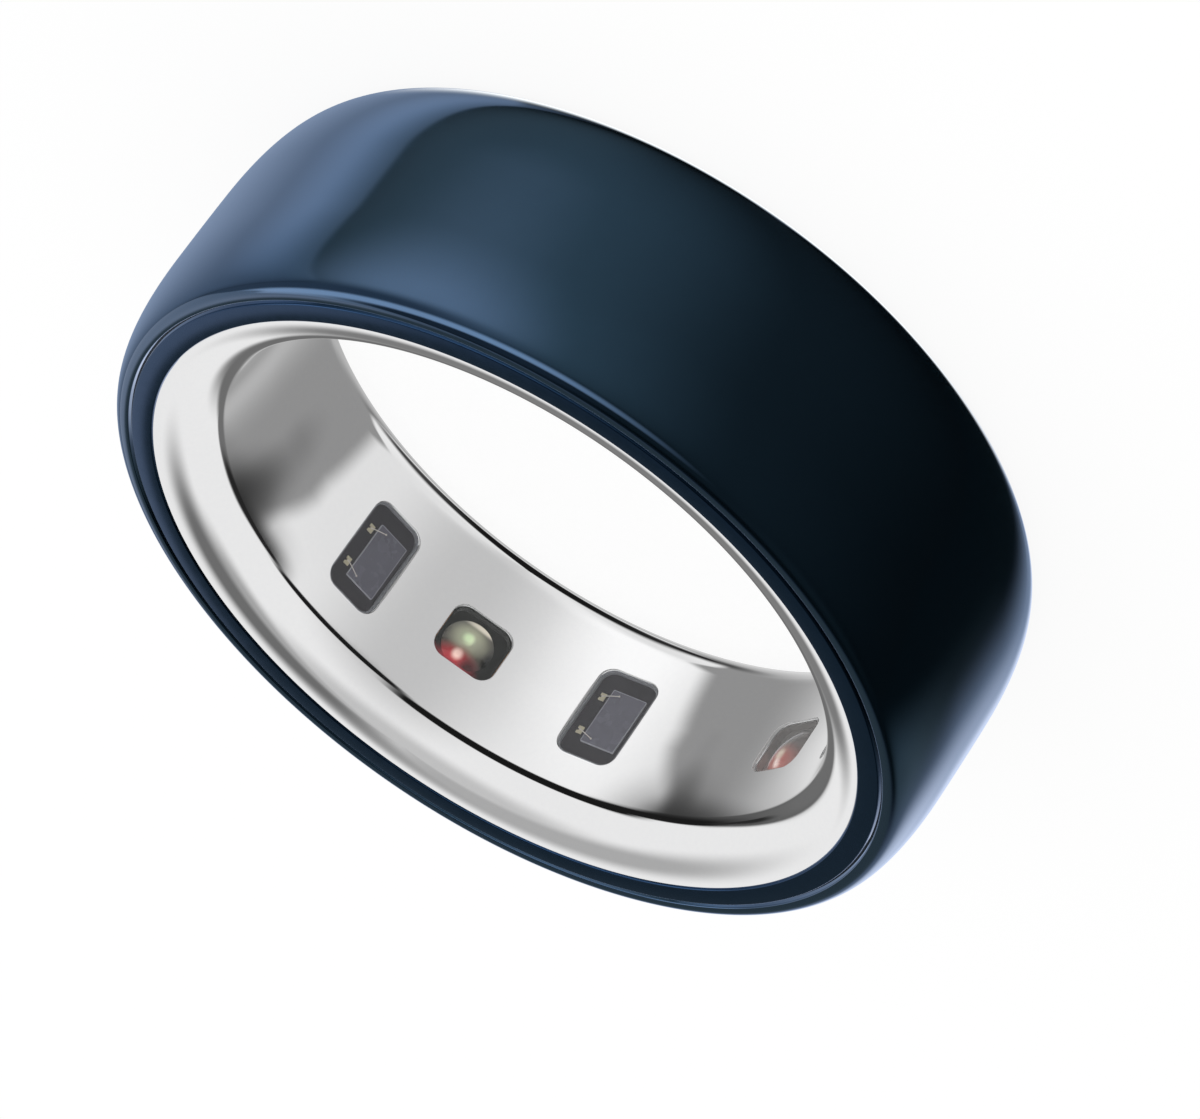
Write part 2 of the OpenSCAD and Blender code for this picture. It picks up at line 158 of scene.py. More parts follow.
# Photodiode: chip with the saw street round it, bond pads with their notch, bond wires
PD_DIE = (1.1, 2)
PD_DIE_T = 0.06
PD_DIE_SHIFT = 0.18
DIE_CORNER = 0.03
STREET_W = 0.02
PAD = (0.18, 0.26)
PAD_T = 0.03
PAD_PITCH = 1.3
PAD_ACROSS = -0.57
NOTCH = (0.05, 0.08)
WIRE_R = 0.015
BEAD_R = 0.03
BEAD_ACROSS = -0.1
BEAD_PITCH = 1.66
WIRE_RISE = 0.012

# Light source: chips in a triangle, each at an angle in degrees, and domed lens
LED_DIE = 0.3
LED_DIE_T = 0.1
LED_DIE_OFFSET = 0.27
LED_TURNS = {"green": 220, "red": 90, "infrared": 330}
DOME_R = 0.8
DOME_SHIFT = (-0.08, 0.06)

# Steps round the ring, a lens, a wire and a bead, and from pole to pole of a bead
SEGMENTS = 288
LENS_SEGMENTS = 64
WIRE_SIDES = 10
BEAD_SEGMENTS = 16
BEAD_RINGS = 10

# Steps along a rounded stretch, the crown, the swell of the bore, half its crease, a small
# edge, the corner of a window, a lens and a wire
CURVE_STEPS = 44
CROWN_STEPS = 12
SWELL_STEPS = 16
CREASE_STEPS = 8
EDGE_STEPS = 6
CORNER_STEPS = 8
LENS_STEPS = 24
WIRE_STEPS = 12

# An edge stays sharp where the surface turns by more than this, on the liner and elsewhere
LINER_SHARP_ANGLE = math.radians(5)
SHARP_ANGLE = math.radians(30)

# A face of the liner is polished where it lies this close to the true surface, as a cosine
POLISHED_COSINE = 0.97


def linear(text):
    """An sRGB hex colour as linear values with alpha."""
    parts = [int(text[i:i + 2], 16) / 255 for i in (1, 3, 5)]
    return [p / 12.92 if p <= 0.04045 else ((p + 0.055) / 1.055) ** 2.4 for p in parts] + [1]


def add(tree, kind, links=(), values=(), **settings):
    """Adds a node: links are (source, input) pairs and values are (input, value) pairs.

    A source is a node's output, or a node that gives its first output.
    """
    node = tree.nodes.new(kind)
    for name, value in settings.items():
        setattr(node, name, value)
    for name, value in values:
        node.inputs[name].default_value = value
    for source, name in links:
        output = source.outputs[0] if isinstance(source, bpy.types.Node) else source
        tree.links.new(output, node.inputs[name])
    return node


# Materials


def blank(name):
    """A new material and its node tree."""
    material = bpy.data.materials.new(name)
    material.use_nodes = True
    return material, material.node_tree


# Detail of the noise in each finish, and the stretch of it that roughness follows
NOISE_DETAIL = 3
NOISE_SPAN = (0.3, 0.7)

# A soft spot is full up to the first share of its size and gone at the second
SPOT_FADE = (0.3, 1.4)

# Tracks of the circuit: their pitch, and the level of the wave above which copper lies
TRACK_PITCH = 0.2
TRACK_LEVEL = 0.2


def surface(name, colours, roughness, grain, metallic=0, bump=0):
    """A material that drifts between two colours and two roughnesses.

    The grain is the size of its patches, and the bump is their height.
    """
    material, tree = blank(name)
    shader = tree.nodes["Principled BSDF"]
    first, second = [linear(colour) for colour in colours]
    shader.inputs["Base Color"].default_value = first
    shader.inputs["Metallic"].default_value = metallic
    place = add(tree, "ShaderNodeTexCoord").outputs["Object"]
    noise = add(tree, "ShaderNodeTexNoise", [(place, "Vector")],
                [("Scale", 1 / (grain * MM)), ("Detail", NOISE_DETAIL)])
    mixed = add(tree, "ShaderNodeMix", [(noise, "Factor")], [("A", first), ("B", second)],
                data_type="RGBA").outputs["Result"]
    tree.links.new(mixed, shader.inputs["Base Color"])
    rough = add(tree, "ShaderNodeMapRange", [(noise, "Value")],
                [("From Min", NOISE_SPAN[0]), ("From Max", NOISE_SPAN[1]),
                 ("To Min", roughness[0]), ("To Max", roughness[1])])
    tree.links.new(rough.outputs["Result"], shader.inputs["Roughness"])
    if bump:
        raised = add(tree, "ShaderNodeBump", [(noise, "Height")], [("Distance", bump * MM)])
        tree.links.new(raised.outputs["Normal"], shader.inputs["Normal"])
    return material, tree, shader, mixed


# Finishes of one recipe: name, colours, roughnesses, grain, then metallic and bump if any
PLAIN_FINISHES = {
    # Titanium polished to a mirror: clean reflections, with a faint haze from the last felt
    "liner_metal": ("mirror_polished_titanium", ("#eeeeef", "#f2f2f2"), (0.03, 0.06), 0.15, 1),
    # Black bonding epoxy, cured with a slight sheen
    "bond_glue": ("black_epoxy", ("#040608", "#080b0e"), (0.4, 0.5), 0.1),
    # Grey liquid crystal polymer, moulded: matte, slightly mottled
    "shield": ("grey_moulded_polymer", ("#a2a2a6", "#b0b0b4"), (0.4, 0.6), 0.08, 0, 0.002),
    # Dark epoxy moulding compound: matte with fine filler grain
    "package": ("dark_moulding_compound", ("#3c393e", "#434045"), (0.55, 0.7), 0.03, 0, 0.002),
    # Gold plate over copper: pale, soft and slightly grained
    "bond_pad": ("plated_gold_pad", ("#f2e9cc", "#e4d8b6"), (0.4, 0.5), 0.05, 0.2, 0.002),
    # Drawn gold wire, so fine that it looks nearly white
    "bond_wire": ("drawn_gold_wire", ("#fff6ee", "#f6ece2"), (0.3, 0.35), 0.05, 0.2),
    # Lit green chip, seen through its lens
    "die_green": ("green_chip", ("#8fc488", "#a8d49a"), (0.3, 0.4), 0.05),
    # Lit red chip, seen through its lens
    "die_red": ("red_chip", ("#d86058", "#e87c70"), (0.3, 0.4), 0.05),
    # Infrared chip: dark, with a dull red cast
    "die_infrared": ("infrared_chip", ("#4a3434", "#553c3a"), (0.3, 0.4), 0.05),
    # Potting epoxy, poured: dark, smooth, with a slow ripple
    "resin": ("potting_epoxy", ("#24282c", "#2c3135"), (0.2, 0.3), 1.2, 0, 0.01),
    # Moulded chip: black epoxy with a fine blasted grain
    "chip_black": ("black_moulded_chip", ("#1b1b1d", "#222225"), (0.5, 0.65), 0.04, 0, 0.003),
    # Small moulded sensor: black with a grey cast
    "sensor_chip": ("moulded_sensor", ("#2b2e31", "#34383b"), (0.45, 0.6), 0.04, 0, 0.002),
    # Nickel plated lid, seam welded: bright with fine rolling haze
    "crystal_can": ("nickel_plated_lid", ("#c8c8c4", "#b9b9b5"), (0.25, 0.4), 0.1, 1),
    # Pressed ferrite and epoxy: brown grey and gritty
    "inductor_core": ("pressed_ferrite", ("#46403a", "#534b43"), (0.6, 0.75), 0.06, 0, 0.005),
    # Fired ceramic: tan, with a dry sheen
    "capacitor": ("fired_tan_ceramic", ("#a98a5c", "#b99a6c"), (0.45, 0.6), 0.05),
    # Thick film resistor: glassy black coat
    "resistor": ("glazed_black_film", ("#26262a", "#303035"), (0.3, 0.45), 0.06),
    # Bare copper, etched: warm, slightly uneven
    "copper": ("etched_copper", ("#c07a4c", "#a8653c"), (0.3, 0.45), 0.25, 1),
    # Aluminium laminate, drawn: silver grey with a soft crinkle
    "cell_pouch": ("aluminium_laminate", ("#b8babd", "#a8abae"), (0.35, 0.5), 0.7, 0.9, 0.01),
    # Polyimide tape: glossy amber yellow
    "yellow_tape": ("polyimide_tape", ("#d0a52e", "#dcb53c"), (0.2, 0.32), 0.5),
    # Rolled nickel strip: warm grey with a satin finish
    "nickel": ("rolled_nickel", ("#c4c0b6", "#b4b0a6"), (0.3, 0.45), 0.1, 1),
    # Solder mask over a glass epoxy board: green and glossy, slightly uneven
    "board_green": ("green_solder_mask", ("#1f5a3a", "#276845"), (0.3, 0.4), 0.15, 0, 0.002),
    # Soft ferrite sheet: dark grey, matte
    "ferrite": ("soft_ferrite_sheet", ("#33302e", "#3c3936"), (0.6, 0.75), 0.1),
}


def band_ceramic():
    # Midnight blue ceramic, diamond polished: deep blue reflections, which a metallic share
    # gives, under a clear, sharp gloss
    material, _, shader, _ = surface("polished_blue_ceramic", ("#284252", "#2b4656"),
                                     (0.08, 0.11), 0.5, 0.95)
    shader.inputs["Coat Weight"].default_value = 1
    shader.inputs["Coat Roughness"].default_value = 0.02
    return material


def casing_metal():
    # Blue coated titanium, lapped flat: darker than the band, with a softer gloss
    material, _, shader, _ = surface("blue_coated_titanium", ("#22384b", "#263d51"),
                                     (0.15, 0.2), 0.3, 0.95)
    shader.inputs["Coat Weight"].default_value = 0.1
    shader.inputs["Coat Roughness"].default_value = 0.12
    return material


def window_cover():
    # Hard coated clear epoxy, cast flat: a faint smoke tint over the sensors. It lets light
    # through to them, and its IOR is below epoxy's 1.5, so that its gloss stays faint.
    smoke = "#e6e8ea"
    material, tree, shader, _ = surface("clear_cast_epoxy", (smoke, smoke), (0.01, 0.02), 0.4)
    shader.inputs["IOR"].default_value = 1.3
    shader.inputs["Transmission Weight"].default_value = 1
    see = add(tree, "ShaderNodeBsdfTransparent", values=[("Color", linear(smoke))])
    path = add(tree, "ShaderNodeLightPath")
    both = add(tree, "ShaderNodeMixShader", [
        (path.outputs["Is Shadow Ray"], 0), (shader, 1), (see, 2)])
    tree.links.new(both.outputs[0], tree.nodes["Material Output"].inputs["Surface"])
    return material


def photodiode():
    # Silicon chip with its passivation: dark violet grey, with a pale saw street round it
    material, tree, shader, mixed = surface("photodiode_silicon", ("#7a7884", "#807e8a"),
                                            (0.22, 0.3), 0.3, 0.1)
    place = add(tree, "ShaderNodeAttribute", attribute_name="place").outputs["Vector"]
    centred = add(tree, "ShaderNodeVectorMath", [(place, 0)], [(1, (PD_DIE_SHIFT, 0, 0))],
                  operation="SUBTRACT")
    size = add(tree, "ShaderNodeVectorMath", [(centred, 0)], operation="ABSOLUTE")
    parts = add(tree, "ShaderNodeSeparateXYZ", [(size, 0)]).outputs
    across, along = [
        add(tree, "ShaderNodeMath", [(parts[i], 0)], [(1, PD_DIE[i] / 2 - STREET_W)],
            operation="GREATER_THAN") for i in (0, 1)
    ]
    street = add(tree, "ShaderNodeMath", [(across, 0), (along, 1)], operation="MAXIMUM")
    lined = add(tree, "ShaderNodeMix", [(street, "Factor"), (mixed, "A")],
                [("B", linear("#c9c8d0"))], data_type="RGBA")
    tree.links.new(lined.outputs["Result"], shader.inputs["Base Color"])
    return material


def flex():
    # Polyimide circuit: amber, with copper tracks under its cover film
    material, tree, shader, mixed = surface("polyimide_circuit", ("#a8611f", "#b46c28"),
                                            (0.35, 0.45), 0.6)
    place = add(tree, "ShaderNodeTexCoord").outputs["Object"]
    parts = add(tree, "ShaderNodeSeparateXYZ", [(place, 0)]).outputs
    wave = add(tree, "ShaderNodeMath", [(parts["Z"], 0)],
               [(1, math.tau / (TRACK_PITCH * MM))], operation="MULTIPLY")
    swing = add(tree, "ShaderNodeMath", [(wave, 0)], operation="SINE")
    track = add(tree, "ShaderNodeMath", [(swing, 0)], [(1, TRACK_LEVEL)],
                operation="GREATER_THAN")
    lined = add(tree, "ShaderNodeMix", [(track, "Factor"), (mixed, "A")],
                [("B", linear("#c98a3c"))], data_type="RGBA")
    tree.links.new(lined.outputs["Result"], shader.inputs["Base Color"])
    return material


def paint_light_spots(tree, shader, colour, spots, strength):
    """Paints soft spots of light and shade over a surface, and lets them shine a little.

    Each spot is (centre, size, colour), with both places across and along the window.
    """
    place = add(tree, "ShaderNodeAttribute", attribute_name="place").outputs["Vector"]
    shine = None
    for centre, size, hue in spots:
        moved = add(tree, "ShaderNodeVectorMath", [(place, 0)], [(1, (*centre, 0))],
                    operation="SUBTRACT")
        shaped = add(tree, "ShaderNodeVectorMath", [(moved, 0)],
                     [(1, (1 / size[0], 1 / size[1], 0))], operation="MULTIPLY")
        far = add(tree, "ShaderNodeVectorMath", [(shaped, 0)], operation="LENGTH")
        near = add(tree, "ShaderNodeMapRange", [(far.outputs["Value"], "Value")],
                   [("From Min", SPOT_FADE[1]), ("From Max", SPOT_FADE[0])],
                   interpolation_type="SMOOTHSTEP")
        colour = add(tree, "ShaderNodeMix", [(near, "Factor"), (colour, "A")],
                     [("B", linear(hue))], data_type="RGBA").outputs["Result"]
        light = add(tree, "ShaderNodeMix", [(near, "Factor")],
                    [("A", (0, 0, 0, 1)), ("B", linear(hue))], data_type="RGBA")
        if shine:
            tree.links.new(shine, light.inputs["A"])
        shine = light.outputs["Result"]
    tree.links.new(colour, shader.inputs["Base Color"])
    tree.links.new(shine, shader.inputs["Emission Color"])
    shader.inputs["Emission Strength"].default_value = strength


def cup_with_painted_glow(name, colours, spots):
    # Moulded cup round the chips, with the red chip's light painted on it as a soft spot that
    # glows a little, towards the front face
    material, tree, shader, mixed = surface(name, colours, (0.5, 0.6), 0.05, bump=0.002)
    paint_light_spots(tree, shader, mixed, spots, strength=0.4)
    return material


def dome_lens(name, colours, spots):
    # Clear silicone, moulded, with painted light on it: soft green and red glows of the chips,
    # painted highlights and painted shade, which shine a little
    material, tree, shader, mixed = surface(name, colours, (0.05, 0.07), 0.4)
    shader.inputs["IOR"].default_value = 1.42
    shader.inputs["Transmission Weight"].default_value = 0.3
    paint_light_spots(tree, shader, mixed, spots, strength=0.55)
    return material


# Painted glow: the red chip's light as a soft spot on the first cup
CUP_PAINTED_GLOW = (
    ((-0.17, 0.8), (0.68, 0.34), "#b0404a"),
)
# Painted light and shade on the first lens, in turn: a painted shade on one side, the red
# chip's glow, a darker red painted shade, a painted highlight streak near the rim, the green
# chip's glow, and painted glints of green and pink light
DOME_PAINTED_LIGHT = (
    ((0.8, 0.2), (0.26, 0.6), "#20201e"),
    ((-0.12, 0.68), (0.7, 0.42), "#b84048"),
    ((0.4, 0.68), (0.34, 0.34), "#4a1f20"),
    ((0.12, -0.7), (0.56, 0.13), "#e8e0d0"),
    ((-0.06, -0.16), (0.56, 0.46), "#b4b49c"),
    ((-0.08, -0.13), (0.19, 0.19), "#e8f6cc"),
    ((-0.12, 0.46), (0.17, 0.17), "#ffe2d4"),
)
# The second light source is seen at a flat angle, and the light on its lens and cup there is
# painted: paler colours with pink painted glows and highlights
FLAT_CUP_PAINTED_LIGHT = (
    ((0, 0.4), (0.8, 0.6), "#b8938c"),
)
# Painted light on the second lens: a pink painted glow and two painted highlights
FLAT_DOME_PAINTED_LIGHT = (
    ((-0.1, 0.4), (0.7, 0.55), "#bc8078"),
    ((-0.1, 0.2), (0.2, 0.2), "#e8dcc8"),
    ((-0.12, 0.46), (0.17, 0.17), "#ffece4"),
)
# The second cup and lens have paler colours than the first, as painted light
CUPS = (
    cup_with_painted_glow("cup_with_painted_glow", ("#2a2b27", "#30312c"), CUP_PAINTED_GLOW),
    cup_with_painted_glow("pale_cup_with_painted_light", ("#b4aeaa", "#bcb6b2"), FLAT_CUP_PAINTED_LIGHT),
)
DOMES = (
    dome_lens("silicone_with_painted_light", ("#a29c8e", "#aaa496"), DOME_PAINTED_LIGHT),
    dome_lens("pale_silicone_with_painted_light", ("#c8beb8", "#d0c6c0"), FLAT_DOME_PAINTED_LIGHT),
)
MATERIALS = {
    **{slot: surface(*finish)[0] for slot, finish in PLAIN_FINISHES.items()},
    "band_ceramic": band_ceramic(),
    "casing_metal": casing_metal(),
    "window_cover": window_cover(),
    "photodiode": photodiode(),
    "flex": flex(),
    "dome_lens": DOMES[0],
}


# Geometry Nodes trees


def node_tree(name, inputs):
    """An empty geometry tree with its input and output nodes."""
    tree = bpy.data.node_groups.new(name, "GeometryNodeTree")
    tree.interface.new_socket("Geometry", in_out="OUTPUT", socket_type="NodeSocketGeometry")
    for label, kind in inputs.items():
        tree.interface.new_socket(label, in_out="INPUT", socket_type="NodeSocket" + kind)
    return tree, add(tree, "NodeGroupInput").outputs, add(tree, "NodeGroupOutput")


def end_tree(tree, geometry, given, out):
    """Ends a tree: instances made real, then the material."""
    real = add(tree, "GeometryNodeRealizeInstances", [(geometry, "Geometry")])
    painted = add(tree, "GeometryNodeSetMaterial", [
        (real, "Geometry"), (given["Material"], "Material")])
    tree.links.new(painted.outputs[0], out.inputs[0])
    return tree


def turned_tree():
    """Turns an outline of points (radius, 0, level) once round the Z axis."""
    tree, given, out = node_tree("turned_ring", {
        "Outline": "Geometry", "Segments": "Int", "Material": "Material",
    })
    outline, segments = given["Outline"], given["Segments"]
    points = add(tree, "GeometryNodeAttributeDomainSize",
                 [(outline, "Geometry")]).outputs["Point Count"]
    rows = add(tree, "ShaderNodeMath", [(segments, 0)], [(1, 1)], operation="ADD")
    columns = add(tree, "ShaderNodeMath", [(points, 0)], [(1, 1)], operation="ADD")
    grid = add(tree, "GeometryNodeMeshGrid", [(rows, "Vertices X"), (columns, "Vertices Y")])
    index = add(tree, "GeometryNodeInputIndex")
    row = add(tree, "ShaderNodeMath", [(index, 0), (columns, 1)], operation="DIVIDE")
    whole_row = add(tree, "ShaderNodeMath", [(row, 0)], operation="FLOOR")
    column = add(tree, "ShaderNodeMath", [(index, 0), (columns, 1)], operation="MODULO")
    wrapped = add(tree, "ShaderNodeMath", [(column, 0), (points, 1)], operation="MODULO")
    position = add(tree, "GeometryNodeInputPosition")
    sample = add(tree, "GeometryNodeSampleIndex", [
        (outline, "Geometry"), (position, "Value"), (wrapped, "Index")],
        data_type="FLOAT_VECTOR")
    step = add(tree, "ShaderNodeMath", [(segments, 1)], [(0, math.tau)], operation="DIVIDE")
    angle = add(tree, "ShaderNodeMath", [(whole_row, 0), (step, 1)], operation="MULTIPLY")
    spun = add(tree, "ShaderNodeVectorRotate", [
        (sample.outputs["Value"], "Vector"), (angle, "Angle")], rotation_type="Z_AXIS")
    placed = add(tree, "GeometryNodeSetPosition", [
        (grid.outputs["Mesh"], "Geometry"), (spun, "Position")])
    merged = add(tree, "GeometryNodeMergeByDistance", [(placed, "Geometry")],
                 [("Distance", TOUCH)])
    return end_tree(tree, merged, given, out)


def window_tree():
    """A rounded rectangle from one depth to another in a window, solid or with a wall."""
    sizes = ("Across", "Along", "Corner", "Wall", "Near", "Far", "Shift", "Angle")
    tree, given, out = node_tree("window_part", {
        **{name: "Float" for name in sizes}, "Material": "Material",
    })
    outlines = []
    for walls in (0, 1):
        across, along, corner = [
            add(tree, "ShaderNodeMath", [(given["Wall"], 0), (given[name], 2)],
                [(1, -sides * walls)], operation="MULTIPLY_ADD")
            for name, sides in (("Across", 2), ("Along", 2), ("Corner", 1))
        ]
        rectangle = add(tree, "GeometryNodeCurvePrimitiveQuadrilateral", [
            (across, "Width"), (along, "Height")])
        outlines.append(add(tree, "GeometryNodeFilletCurve", [
            (rectangle, "Curve"), (corner, "Radius")], [("Count", CORNER_STEPS)],
            mode="POLY"))
    walled = add(tree, "ShaderNodeMath", [(given["Wall"], 0)], [(1, 0)],
                 operation="GREATER_THAN")
    inner = add(tree, "GeometryNodeSwitch", [(walled, "Switch"), (outlines[1], "True")],
                input_type="GEOMETRY")
    both = add(tree, "GeometryNodeJoinGeometry", [
        (inner, "Geometry"), (outlines[0], "Geometry")])
    sheet = add(tree, "GeometryNodeFillCurve", [(both, "Curve")])
    depth = add(tree, "ShaderNodeMath", [(given["Far"], 0), (given["Near"], 1)],
                operation="SUBTRACT")
    raised = add(tree, "GeometryNodeExtrudeMesh", [(sheet, "Mesh"), (depth, "Offset Scale")],
                 [("Individual", False)])
    turned_over = add(tree, "GeometryNodeFlipFaces", [(sheet, "Mesh")])
    closed = add(tree, "GeometryNodeJoinGeometry", [
        (raised, "Geometry"), (turned_over, "Geometry")])
    merged = add(tree, "GeometryNodeMergeByDistance", [(closed, "Geometry")],
                 [("Distance", TOUCH)])
    position = add(tree, "GeometryNodeInputPosition")
    here = add(tree, "ShaderNodeSeparateXYZ", [(position, 0)]).outputs
    shifted = add(tree, "ShaderNodeMath", [(here["X"], 0), (given["Shift"], 1)],
                  operation="ADD")
    place = add(tree, "ShaderNodeCombineXYZ", [
        (shifted, "X"), (here["Y"], "Y"), (here["Z"], "Z")])
    marked = add(tree, "GeometryNodeStoreNamedAttribute", [
        (merged, "Geometry"), (place, "Value")], [("Name", "place")],
        data_type="FLOAT_VECTOR")
    from_axis = add(tree, "ShaderNodeMath", [(here["Z"], 0), (given["Near"], 1)],
                    operation="ADD")
    level = add(tree, "ShaderNodeMath", [(here["Y"], 0)], [(1, MID_Z)], operation="ADD")
    stood = add(tree, "ShaderNodeCombineXYZ", [
        (from_axis, "X"), (shifted, "Y"), (level, "Z")])
    turn = add(tree, "ShaderNodeMath", [(given["Angle"], 0)], operation="RADIANS")
    spun = add(tree, "ShaderNodeVectorRotate", [(stood, "Vector"), (turn, "Angle")],
               rotation_type="Z_AXIS")
    placed = add(tree, "GeometryNodeSetPosition", [(marked, "Geometry"), (spun, "Position")])
    return end_tree(tree, placed, given, out)


def wire_tree():
    """Round wires along the given lines, with a bead at each end."""
    tree, given, out = node_tree("bond_wire", {
        "Lines": "Geometry", "Radius": "Float", "Bead Radius": "Float", "Material": "Material",
    })
    curve = add(tree, "GeometryNodeMeshToCurve", [(given["Lines"], "Mesh")])
    profile = add(tree, "GeometryNodeCurvePrimitiveCircle", [(given["Radius"], "Radius")],
                  [("Resolution", WIRE_SIDES)])
    tube = add(tree, "GeometryNodeCurveToMesh", [(curve, "Curve"), (profile, "Profile Curve")],
               [("Fill Caps", True)])
    ball = add(tree, "GeometryNodeMeshUVSphere", [(given["Bead Radius"], "Radius")],
               [("Segments", BEAD_SEGMENTS), ("Rings", BEAD_RINGS)])
    ends = add(tree, "GeometryNodeCurveEndpointSelection")
    beads = add(tree, "GeometryNodeInstanceOnPoints", [
        (curve, "Points"), (ends, "Selection"), (ball.outputs["Mesh"], "Instance")])
    both = add(tree, "GeometryNodeJoinGeometry", [(tube, "Geometry"), (beads, "Geometry")])
    return end_tree(tree, both, given, out)


TURNED = turned_tree()
WINDOW = window_tree()
WIRE = wire_tree()


# Making and finishing objects


def put(name, data):
    """A new object of the scene that holds this mesh or camera."""
    obj = bpy.data.objects.new(name, data)
    bpy.context.scene.collection.objects.link(obj)
    return obj


def solid(name, mesh, material=None):
    """An object with the shape of a bmesh, which is freed."""
    data = bpy.data.meshes.new(name)
    mesh.to_mesh(data)
    mesh.free()
    if material:
        data.materials.append(material)
    return put(name, data)


def settle(obj):
    """Gives an object the result of its modifier as its own plain mesh."""
    graph = bpy.context.evaluated_depsgraph_get()
    result = bpy.data.meshes.new_from_object(obj.evaluated_get(graph))
    obj.modifiers.clear()
    obj.data = result
    return obj


def bake(name, tree, points, edges, values):
    """The tree's result on these points, as an object with a plain mesh in mm."""
    mesh = bpy.data.meshes.new(name)
    mesh.from_pydata(points, edges, [])
    obj = put(name, mesh)
    modifier = obj.modifiers.new("shape", "NODES")
    modifier.node_group = tree
    sockets = {s.name: s.identifier for s in tree.interface.items_tree if s.in_out == "INPUT"}
    for label, value in values.items():
        modifier[sockets[label]] = value
    return settle(obj)


def smooth(obj, sharp=SHARP_ANGLE):
    """Closes, turns outwards and smooths a mesh, with sharp edges where it turns a corner."""
    mesh = bmesh.new()
    mesh.from_mesh(obj.data)
    bmesh.ops.remove_doubles(mesh, verts=mesh.verts, dist=TOUCH)
    bmesh.ops.recalc_face_normals(mesh, faces=mesh.faces)
    mesh.to_mesh(obj.data)
    mesh.free()
    obj.data.shade_smooth()
    obj.data.set_sharp_from_angle(angle=sharp)
    return obj


def piece(obj, node):
    """Scales a finished piece to metres and puts it in the place of this node."""
    obj.data.transform(Matrix.Scale(MM, 4))
    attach(obj, "root")
    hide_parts(node)


def round_turn(angle):
    """The turn from the X axis to a place round the bore."""
    return Matrix.Rotation(math.radians(angle), 4, "Z")


# Rings


def super_arc(centre, size, power):
    """A quarter of a superellipse, from beside its centre to above it."""
    points = []
    for i in range(CURVE_STEPS + 1):
        turn = math.pi / 2 * i / CURVE_STEPS
        beside = max(math.cos(turn), 0) ** (2 / power) if i < CURVE_STEPS else 0
        points.append((centre[0] + size[0] * beside,
                       centre[1] + size[1] * math.sin(turn) ** (2 / power)))
    return points


def round_arc(centre, radius, start, end, steps=EDGE_STEPS):
    """Points of an arc from one angle in degrees to another."""
    turns = [math.radians(start + (end - start) * i / steps) for i in range(steps + 1)]
    return [(centre[0] + radius * math.cos(t), centre[1] + radius * math.sin(t))
            for t in turns]


def turned(name, outline, node):
    """A ring from the half of its outline that lies above the middle of the ring."""
    mirrored = [(r, -z) for r, z in reversed(outline) if abs(z) > TOUCH]
    points = [(r, 0, MID_Z + z) for r, z in outline + mirrored]
    values = {"Segments": SEGMENTS, "Material": MATERIALS[SLOTS[node]]}
    return smooth(bake(name, TURNED, points, [], values))


def band_outline():
    edge = round_arc((BAND_IN_R + BAND_EDGE, MID_Z - BAND_EDGE), BAND_EDGE, 180, 90)
    corner = super_arc((LAND_R, CROWN_Z), (CROWN_R - LAND_R, CORNER_L), CORNER_POWER)
    corner.reverse()
    flat = [(CROWN_R, CROWN_Z * (1 - i / CROWN_STEPS)) for i in range(1, CROWN_STEPS + 1)]
    crowned = [(r + CROWN_RISE * (1 - (z / MID_Z) ** 2), z) for r, z in corner + flat]
    return [(BAND_IN_R, 0)] + edge + crowned


def casing_outline():
    inner = round_arc((SEAM_R + CASING_EDGE, MID_Z - CASING_EDGE), CASING_EDGE, 180, 90)
    outer = round_arc((CASING_R - CASING_EDGE, MID_Z - CASING_EDGE), CASING_EDGE, 90, 0)
    cavity = [(CAVITY_R, 0), (CAVITY_R, CAVITY_Z), (SEAM_R, CAVITY_Z)]
    return cavity + inner + outer + [(CASING_R, 0)]


def glue_outline():
    inner = CASING_R + GAP
    return [(inner, 0), (inner, GLUE_Z), (GLUE_R, GLUE_Z), (GLUE_R, 0)]


def mouth_radius(share):
    """The radius of the rounded mouth at a share of its length."""
    return LIP_R + (BORE_R - LIP_R) * (1 - share ** MOUTH_POWER) ** (1 / MOUTH_POWER)


# Where the crease lies, and how the bore swells up to it
CREASE_Z = STRAIGHT_Z + CREASE_SHARE * (LIP_Z - STRAIGHT_Z)
CREASE_R = mouth_radius(CREASE_SHARE)
SWELL_L = 2 * (CREASE_R - BORE_R) / math.tan(CREASE_TILT)
SWELL_Z = CREASE_Z - SWELL_L
SWELL = (CREASE_R - BORE_R) / SWELL_L ** 2


def bore_radius(level):
    """The radius of the liner at a height above the middle of the ring."""
    if level > CREASE_Z:
        return mouth_radius((level - STRAIGHT_Z) / (LIP_Z - STRAIGHT_Z))
    return BORE_R + SWELL * max(level - SWELL_Z, 0) ** 2


def liner_outline():
    back = [
        (LINER_R, 0),
        (LINER_R, CAVITY_Z - BEVEL_L),
        (LINER_R + BEVEL_W, CAVITY_Z),
        (LIP_R, CAVITY_Z),
    ]
    mouth = super_arc((LIP_R, STRAIGHT_Z), (BORE_R - LIP_R, LIP_Z - STRAIGHT_Z), MOUTH_POWER)
    lowest = CREASE_Z + CREASE_ROUND + CREASE_MARGIN
    rounded = [(r, z) for r, z in reversed(mouth) if z > lowest]
    steps = range(CREASE_STEPS, -CREASE_STEPS - 1, -1)
    crease = [CREASE_Z + CREASE_ROUND * i / CREASE_STEPS for i in steps]
    swelling = [SWELL_Z + (SWELL_L - CREASE_ROUND) * (1 - i / SWELL_STEPS)
                for i in range(1, SWELL_STEPS)]
    bore = [(bore_radius(z), z) for z in crease + swelling]
    return back + rounded + bore + [(BORE_R, SWELL_Z), (BORE_R, 0)]


